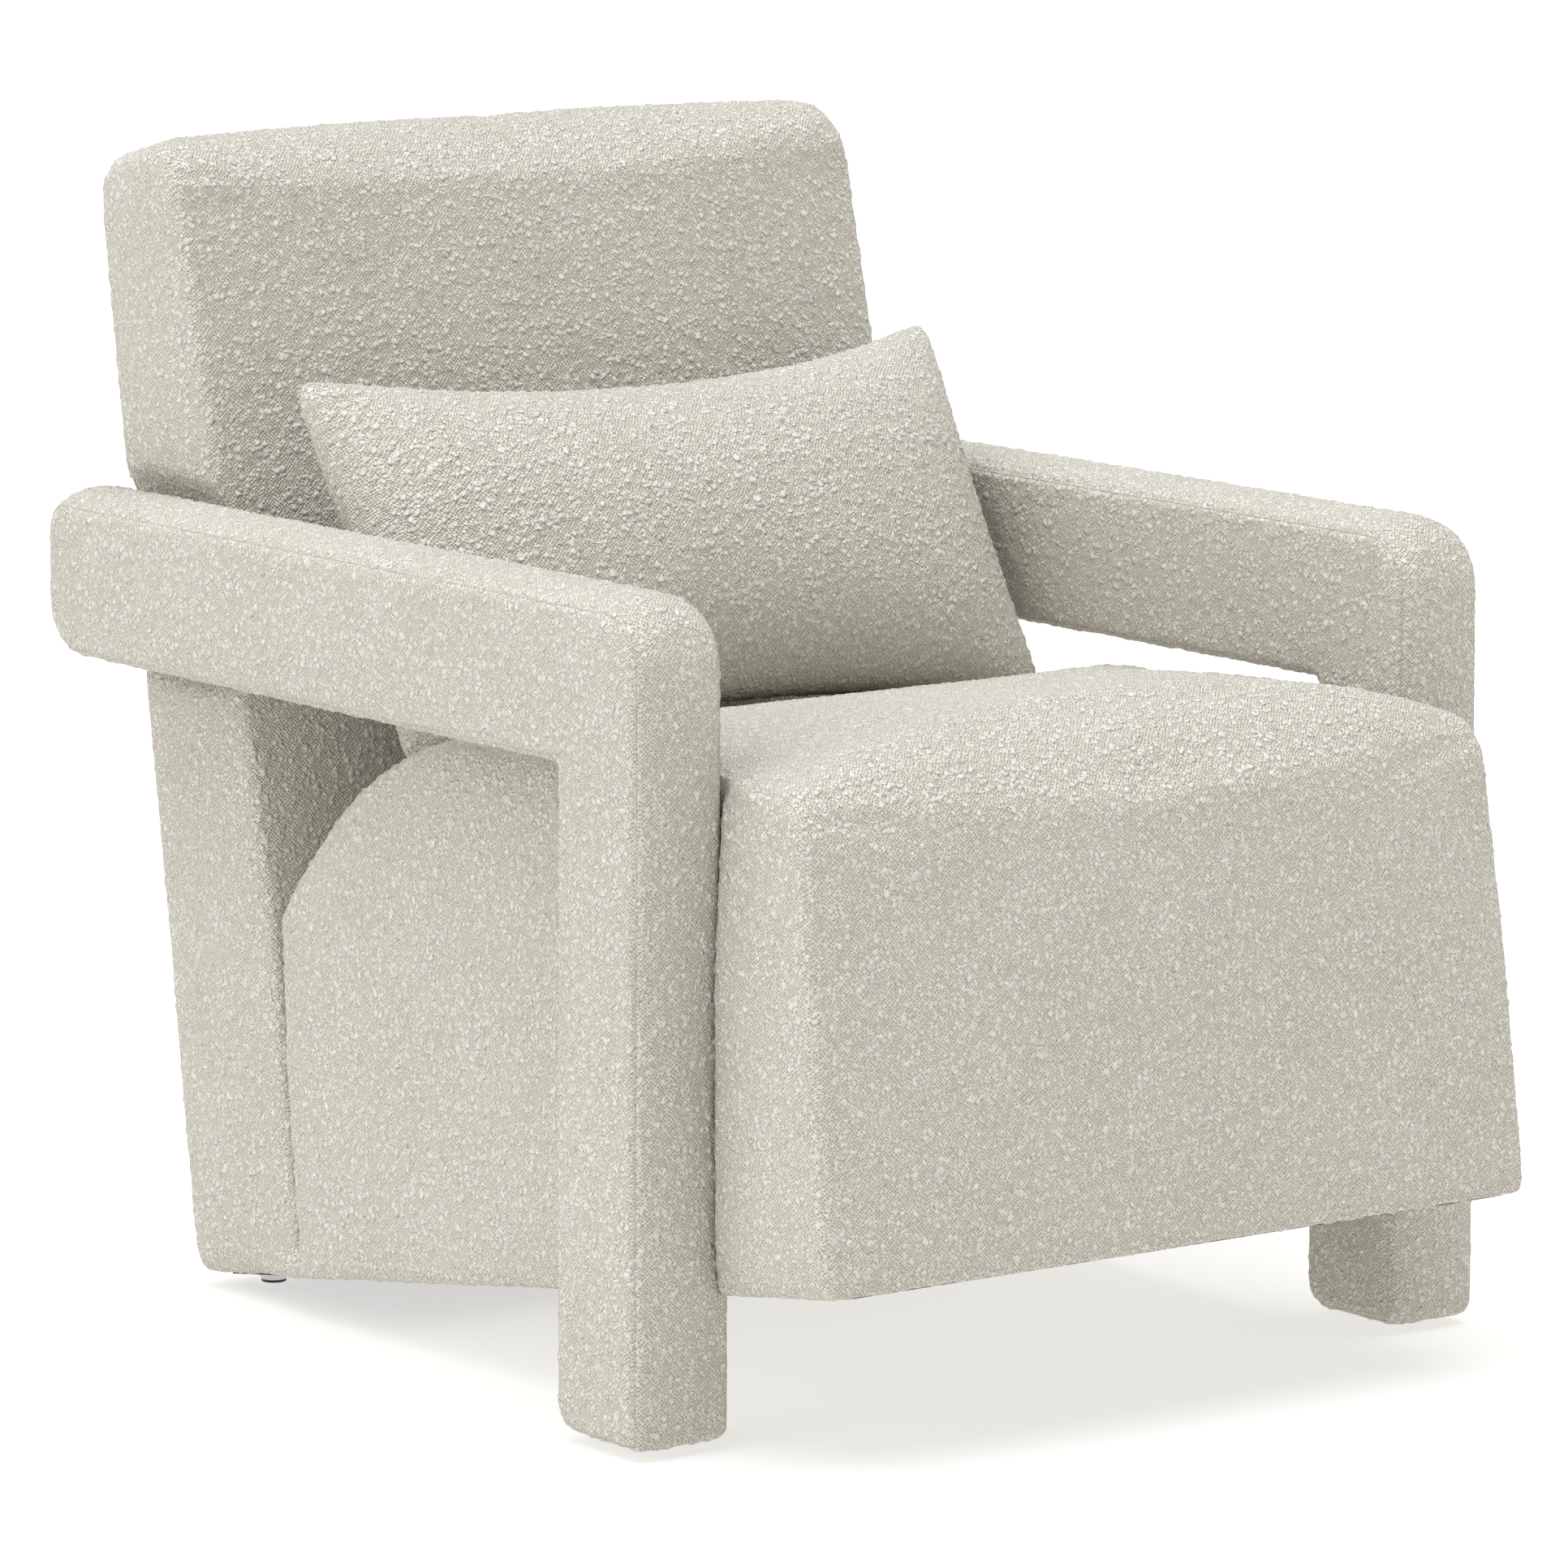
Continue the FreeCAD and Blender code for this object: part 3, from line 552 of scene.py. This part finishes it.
def make_back():
    """Its seams join the outside back panel, down the rear edges."""
    sewn = lambda u, w: (u > 0.79) & (w > 0.004)
    return make_unit_part("back", back_outline, back_edge, BACK_FLATNESS, sewn)


def pillow_grid():
    """Points of the pillow's front half over a grid, as (across, up, thickness)."""
    s, v = (np.sin(np.linspace(-1, 1, count) * math.pi / 2) for count in PILLOW_GRID)
    s, v = np.meshgrid(s, v, indexing="ij")
    wide = PILLOW_HALF_WIDE - PILLOW_WAIST * (1 - v ** 2)
    tall = PILLOW_HALF_TALL - PILLOW_SAG * (1 - np.abs(s) ** 2.2)
    full = ((1 - np.abs(s) ** 2.6) * (1 - np.abs(v) ** 2.4)).clip(0, 1) ** PILLOW_FULLNESS
    ear = PILLOW_EAR * (np.abs(s) * np.abs(v)) ** 14
    perk = PILLOW_PERK * s.clip(0, 1) ** 6 * (1 + v) / 2
    return PILLOW_X + s * (wide - ear), v * (tall - ear * 0.7) + perk, PILLOW_HALF_THICK * full


def leaned(across, up, out):
    """Pillow coordinates in the chair's frame; out is towards the sitter."""
    y = PILLOW_Y + up * math.sin(PILLOW_LEAN) - out * math.cos(PILLOW_LEAN)
    z = PILLOW_Z + up * math.cos(PILLOW_LEAN) + out * math.sin(PILLOW_LEAN)
    return np.stack([across, y, z], axis=-1)


def make_pillow():
    across, up, out = pillow_grid()
    front, rear = leaned(across, up, out), leaned(across, up, -out)
    n, m = across.shape
    faces = []
    for i in range(n - 1):
        for j in range(m - 1):
            a, b, c, d = i * m + j, (i + 1) * m + j, (i + 1) * m + j + 1, i * m + j + 1
            faces.append((a, b, c, d))
            faces.append(tuple(n * m + k for k in (a, d, c, b)))
    vertices = np.concatenate([front.reshape(-1, 3), rear.reshape(-1, 3)])
    piece = new_piece("pillow_upholstery", vertices, faces)
    weld = piece.modifiers.new("weld", "WELD")
    weld.merge_threshold = SAME_POINT
    baked(piece)
    rim = np.concatenate([front[:, 0], front[-1, 1:], front[-2::-1, -1], front[0, -2:0:-1]])
    apart = np.linalg.norm(rim - np.roll(rim, 1, axis=0), axis=1) > RIM_STEP
    rim = rim[apart]
    remeshed(piece, PILLOW_VOXEL)
    swollen(piece, [(rim, True)], UNIT_CAP, UNIT_PRESSURE)
    subdivided(piece)
    thread = stitched("pillow_seams", [(rim, True)], piece, THREAD_R / 2)
    upholstered(piece, [])
    return piece, thread


# ---- materials ----
class Nodes:
    """A small helper that builds one Principled material."""

    def __init__(self, name, **sockets):
        self.material = bpy.data.materials.new(name)
        self.material.use_nodes = True
        self.tree = self.material.node_tree
        self.shader = self.tree.nodes["Principled BSDF"]
        for key, value in sockets.items():
            self.shader.inputs[key.replace("_", " ")].default_value = value
        self.place = self.add("ShaderNodeTexCoord").outputs["Object"]

    def add(self, kind, inputs=None, **settings):
        node = self.tree.nodes.new(kind)
        for key, value in settings.items():
            setattr(node, key, value)
        for key, value in (inputs or {}).items():
            if isinstance(value, bpy.types.NodeSocket):
                self.tree.links.new(value, node.inputs[key])
            else:
                node.inputs[key].default_value = value
        return node

    def noise(self, scale, detail=2.0, stretch=None):
        place = self.place
        if stretch:
            place = self.add("ShaderNodeMapping", {"Vector": place, "Scale": stretch}).outputs[0]
        values = {"Vector": place, "Scale": scale, "Detail": detail}
        return self.add("ShaderNodeTexNoise", values).outputs["Fac"]

    def cells(self, scale):
        values = {"Vector": self.place, "Scale": scale}
        return self.add("ShaderNodeTexVoronoi", values).outputs["Distance"]

    def waver(self, scale, amount):
        """Bends every pattern that is added after it."""
        values = {"Vector": self.place, "Scale": scale, "Detail": 1.0}
        cloud = self.add("ShaderNodeTexNoise", values).outputs["Color"]
        shift = self.vector_math("SUBTRACT", {0: cloud, 1: (0.5, 0.5, 0.5)})
        shift = self.vector_math("SCALE", {0: shift, "Scale": amount})
        self.place = self.vector_math("ADD", {0: self.place, 1: shift})

    def weave(self, pitch):
        """Bumps in diagonal rows along the surface, from -1 to 1: a wave along each of the two
        axes that the surface runs in."""
        wave = self.vector_math("SCALE", {0: self.place, "Scale": 2 * math.pi / pitch})
        wave = self.vector_math("SINE", {0: wave})
        facing = self.add("ShaderNodeTexCoord").outputs["Normal"]
        facing = self.vector_math("ABSOLUTE", {0: facing})
        waves = self.add("ShaderNodeSeparateXYZ", {"Vector": wave}).outputs
        ways = self.add("ShaderNodeSeparateXYZ", {"Vector": facing}).outputs
        bumps = 1.0
        for axis in range(3):
            others = self.math("MAXIMUM", ways[axis - 1], ways[axis - 2])
            into = self.math("GREATER_THAN", ways[axis], others)
            kept = self.math("MULTIPLY", waves[axis], self.math("SUBTRACT", 1.0, into))
            bumps = self.math("MULTIPLY", bumps, self.math("ADD", kept, into))
        return bumps

    def smooth(self, value, start, end):
        """From 0 to 1, smoothly, as value goes from start to end."""
        values = {"Value": value, "From Min": start, "From Max": end}
        return self.add("ShaderNodeMapRange", values, interpolation_type="SMOOTHSTEP").outputs[0]

    def loops(self, scale, smallest, largest):
        """Round loops, one to a cell of the pattern, each of its own size."""
        cell = self.add("ShaderNodeTexVoronoi", {"Vector": self.place, "Scale": scale})
        pick = self.add("ShaderNodeSeparateColor", {"Color": cell.outputs["Color"]}).outputs[0]
        size = self.math("MULTIPLY_ADD", pick, largest - smallest, smallest)
        across = self.math("DIVIDE", cell.outputs["Distance"], size)
        height = self.math("DIVIDE", size, largest)
        return self.math("MULTIPLY", self.smooth(across, 1.0, 0.1), height)

    def math(self, operation, *values, clamp=False):
        inputs = dict(enumerate(values))
        return self.add("ShaderNodeMath", inputs, operation=operation, use_clamp=clamp).outputs[0]

    def vector_math(self, operation, inputs):
        return self.add("ShaderNodeVectorMath", inputs, operation=operation).outputs[0]

    def blend(self, fac, low, high):
        ramp = self.add("ShaderNodeValToRGB", {"Fac": fac})
        ramp.color_ramp.elements[0].color = (*low, 1)
        ramp.color_ramp.elements[1].color = (*high, 1)
        return ramp.outputs["Color"]

    def finish(self, colour, height=None, depth=0.001, strength=1.0, roughness=None):
        links = self.tree.links
        links.new(colour, self.shader.inputs["Base Color"])
        if roughness is not None:
            links.new(roughness, self.shader.inputs["Roughness"])
        if height is not None:
            values = {"Height": height, "Distance": depth, "Strength": strength}
            bump = self.add("ShaderNodeBump", values)
            links.new(bump.outputs[0], self.shader.inputs["Normal"])
        return self.material


def boucle():
    """Woven ground with loops of two sizes on it, and painted shade, dark and warm, between its
    threads.
    """
    m = Nodes("boucle", Roughness=0.95, Specular_IOR_Level=0.08, Sheen_Weight=0.1,
              Sheen_Roughness=0.5)
    m.waver(130.0, 0.0034)
    m.waver(420.0, 0.0016)
    threads = m.weave(WEAVE)
    loops = m.math("MULTIPLY_ADD", m.loops(280.0, 0.15, 0.66), 0.45, m.loops(180.0, 0.26, 0.74))
    bare = m.smooth(loops, 0.40, 0.0)
    # painted shade: the pits between the threads, on ground the loops leave bare, are darkened in
    # the colour
    painted_pit_shade = m.math("MULTIPLY", m.smooth(threads, 0.10, -0.75), bare)
    height = m.math("MULTIPLY_ADD", m.math("MULTIPLY", threads, bare), 0.20, loops)
    worn = m.math("MULTIPLY_ADD", m.noise(9.0, 3.0), 0.16, -0.08)
    # worn is a random tone; the bare ground between the loops is painted a little darker, as shade
    light = m.math("MULTIPLY_ADD", bare, -0.05, m.math("ADD", worn, 0.88))
    shade = m.math("MULTIPLY_ADD", painted_pit_shade, -0.60, light, clamp=True)
    # the dark end of this blend is the warm painted shade in the pits
    colour = m.blend(shade, (0.34, 0.30, 0.18), (0.81, 0.79, 0.735))
    roughness = m.math("MULTIPLY_ADD", loops, -0.06, 0.97)
    return m.finish(colour, height, 0.0032, 1.0, roughness)


def thread_cloth():
    m = Nodes("seam_thread", Roughness=0.8, Sheen_Weight=0.1)
    twist = m.noise(900.0)
    return m.finish(m.blend(twist, (0.42, 0.40, 0.35), (0.62, 0.60, 0.54)), twist, 0.0003)


def wood(name, dark, light, stretch):
    m = Nodes(name, Roughness=0.55)
    grain = m.noise(14.0, 8.0, stretch)
    pores = m.noise(90.0, 4.0, stretch)
    mixed = m.math("ADD", m.math("MULTIPLY", grain, 0.75), m.math("MULTIPLY", pores, 0.25))
    return m.finish(m.blend(mixed, dark, light), pores, 0.0004)


def cloth(name, dark, light, scale, roughness=0.95):
    m = Nodes(name, Roughness=roughness)
    fibre = m.noise(scale, 6.0)
    return m.finish(m.blend(fibre, dark, light), m.cells(scale * 1.7), 0.0006)


def metal(name, colour, rough, scratch):
    m = Nodes(name, Metallic=1.0)
    wear = m.noise(scratch, 6.0)
    roughness = m.math("MULTIPLY_ADD", wear, 0.18, rough)
    dark = tuple(c * 0.82 for c in colour)
    return m.finish(m.blend(wear, dark, colour), wear, 0.0001, 0.3, roughness)


def plastic(name, dark, light):
    m = Nodes(name)
    grain = m.noise(700.0, 3.0)
    roughness = m.math("MULTIPLY_ADD", grain, 0.15, 0.38)
    return m.finish(m.blend(m.noise(60.0), dark, light), grain, 0.0002, 0.5, roughness)


def give(material, *names):
    for name in names:
        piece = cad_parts[name]
        piece.data.materials.clear()
        piece.data.materials.append(material)


def dress_frame():
    """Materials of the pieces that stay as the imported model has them."""
    sides = ("left", "right")
    corners = [a + "_" + b for a in ("front", "rear") for b in sides]
    ply = wood("plywood", (0.50, 0.36, 0.20), (0.74, 0.60, 0.40), (1.0, 1.0, 9.0))
    give(ply, *["side_frame_" + s for s in sides], "front_rail", "rear_seat_rail", "cross_battens",
         "rear_bottom_rail", "back_lower_rail", "back_top_rail")
    hard = wood("hardwood", (0.36, 0.22, 0.12), (0.64, 0.46, 0.29), (1.0, 7.0, 1.0))
    give(hard, *["arm_beam_" + s for s in sides], *["leg_post_" + s for s in sides],
         "arm_dowels", "corner_blocks", "rear_foot_blocks")
    give(metal("spring_steel", (0.42, 0.42, 0.43), 0.35, 240.0), "seat_springs")
    zinc = metal("zinc_plate", (0.70, 0.71, 0.73), 0.28, 160.0)
    give(zinc, "spring_clips", "arm_bolts", "bolt_washers", "t_nuts", "arm_frame_screws",
         "glide_sockets")
    give(metal("chrome", (0.80, 0.81, 0.82), 0.06, 60.0), *["glide_stem_" + c for c in corners])
    nylon = plastic("glide_nylon", (0.012, 0.012, 0.013), (0.03, 0.03, 0.032))
    give(nylon, *["glide_foot_" + c for c in corners])
    give(cloth("felt", (0.30, 0.29, 0.27), (0.55, 0.54, 0.50), 220.0), "spring_pad")
    give(cloth("webbing", (0.10, 0.09, 0.08), (0.24, 0.22, 0.20), 500.0), "back_webbing")
    give(cloth("fibreboard", (0.34, 0.24, 0.15), (0.52, 0.39, 0.26), 150.0, 0.7), "back_board")
    give(cloth("lining", (0.03, 0.03, 0.033), (0.09, 0.09, 0.095), 400.0), "dust_cover")


# ---- stage ----
FLOOR_HALF = 30.0
FLOOR_DARK, FLOOR_LIGHT = (0.40, 0.395, 0.385), (0.41, 0.405, 0.395)
FLOOR_GLOW = 0.62                        # keeps the shadow pale
WALLS = (0.12, (0.74, 0.715, 0.65, 1))   # height from the horizon to overhead, 0 to 1, and colour
CEILING = (0.5, (0.288, 0.276, 0.240, 1))
CAMERA_YAW = math.radians(36.19)
CAMERA_PITCH = math.radians(-9.25)
CAMERA_LENS = 207.73
CAMERA_PLACE = (-3.8285, -5.2154, 1.4448)
LIGHTS = (                               # name, where it shines from, strength, width in degrees
    ("overhead", (-0.05, -0.02, 1.0), 2.66, 60.0),
    ("left", (-0.31, 0.07, 0.20), 1.28, 65.0),
    ("right", (0.18, -0.14, 0.24), 0.46, 60.0),
)


def soft_light(name, towards, strength, width):
    """A far light, width degrees across, that shines from a direction."""
    lamp = bpy.data.lights.new(name, "SUN")
    lamp.energy = strength
    lamp.angle = math.radians(width)
    lamp.color = (0.98, 0.99, 1.04)
    light = bpy.data.objects.new(name, lamp)
    light.rotation_euler = Vector(towards).to_track_quat("Z", "Y").to_euler()
    bpy.context.scene.collection.objects.link(light)


def make_stage():
    """A pale floor that glows a little, three wide soft lights, and a room whose walls are
    bright and whose ceiling is darker."""
    h = FLOOR_HALF
    floor = new_piece("floor", [(-h, -h, 0), (h, -h, 0), (h, h, 0), (-h, h, 0)], [(0, 1, 2, 3)])
    m = Nodes("floor", Roughness=0.9, Emission_Color=(1.0, 0.99, 0.97, 1.0),
              Emission_Strength=FLOOR_GLOW)
    floor.data.materials.append(m.finish(m.blend(m.noise(3.0), FLOOR_DARK, FLOOR_LIGHT)))

    world = bpy.data.worlds.new("studio")
    world.use_nodes = True
    tree = world.node_tree
    sky = tree.nodes.new("ShaderNodeTexCoord").outputs["Generated"]
    split = tree.nodes.new("ShaderNodeSeparateXYZ")
    ramp = tree.nodes.new("ShaderNodeValToRGB")
    for stop, (position, colour) in zip(ramp.color_ramp.elements, (WALLS, CEILING)):
        stop.position, stop.color = position, colour
    tree.links.new(sky, split.inputs[0])
    tree.links.new(split.outputs["Z"], ramp.inputs["Fac"])
    tree.links.new(ramp.outputs["Color"], tree.nodes["Background"].inputs["Color"])
    bpy.context.scene.world = world

    for light in LIGHTS:
        soft_light(*light)
    bpy.context.scene.view_settings.view_transform = "Standard"


def make_camera():
    yaw, pitch = CAMERA_YAW, CAMERA_PITCH
    camera = bpy.data.objects.new("camera", bpy.data.cameras.new("camera"))
    camera.data.lens = CAMERA_LENS
    camera.data.sensor_width = 36.0
    camera.location = CAMERA_PLACE
    level = math.cos(pitch)
    ahead = Vector((math.sin(yaw) * level, math.cos(yaw) * level, math.sin(pitch)))
    camera.rotation_euler = ahead.to_track_quat("-Z", "Y").to_euler()
    bpy.context.scene.collection.objects.link(camera)
    bpy.context.scene.camera = camera


def attach(piece, thread, body, nodes, fill, cover, seam):
    """Gives a cover and its thread their materials and their body, in place of CAD nodes."""
    piece.data.materials.append(cover)
    thread.data.materials.append(seam)
    thread.data.shade_smooth()
    for part in (piece, thread):
        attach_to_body(part, body)
    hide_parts(*nodes)


make_camera()
make_stage()
dress_frame()
cover_cloth, seam_cloth = boucle(), thread_cloth()
for side, word in ((-1, "left"), (1, "right")):
    nodes = ("arm_cover_" + word, "arm_foam_" + word)
    attach(*make_arm(side), "chair", nodes, 0.9, cover_cloth, seam_cloth)
seat_nodes = ("seat_cover", "seat_foam", "seat_front_foam", "seat_side_foam_left",
              "seat_side_foam_right")
attach(*make_seat(), "chair", seat_nodes, 0.9, cover_cloth, seam_cloth)
back_nodes = ("back_cover", "back_foam", "back_top_foam", "back_side_foam",
              "outside_back_panel")
attach(*make_back(), "chair", back_nodes, 0.85, cover_cloth, seam_cloth)
pillow_nodes = ("pillow_cover", "pillow_insert")
attach(*make_pillow(), "pillow", pillow_nodes, 0.6, cover_cloth, seam_cloth)
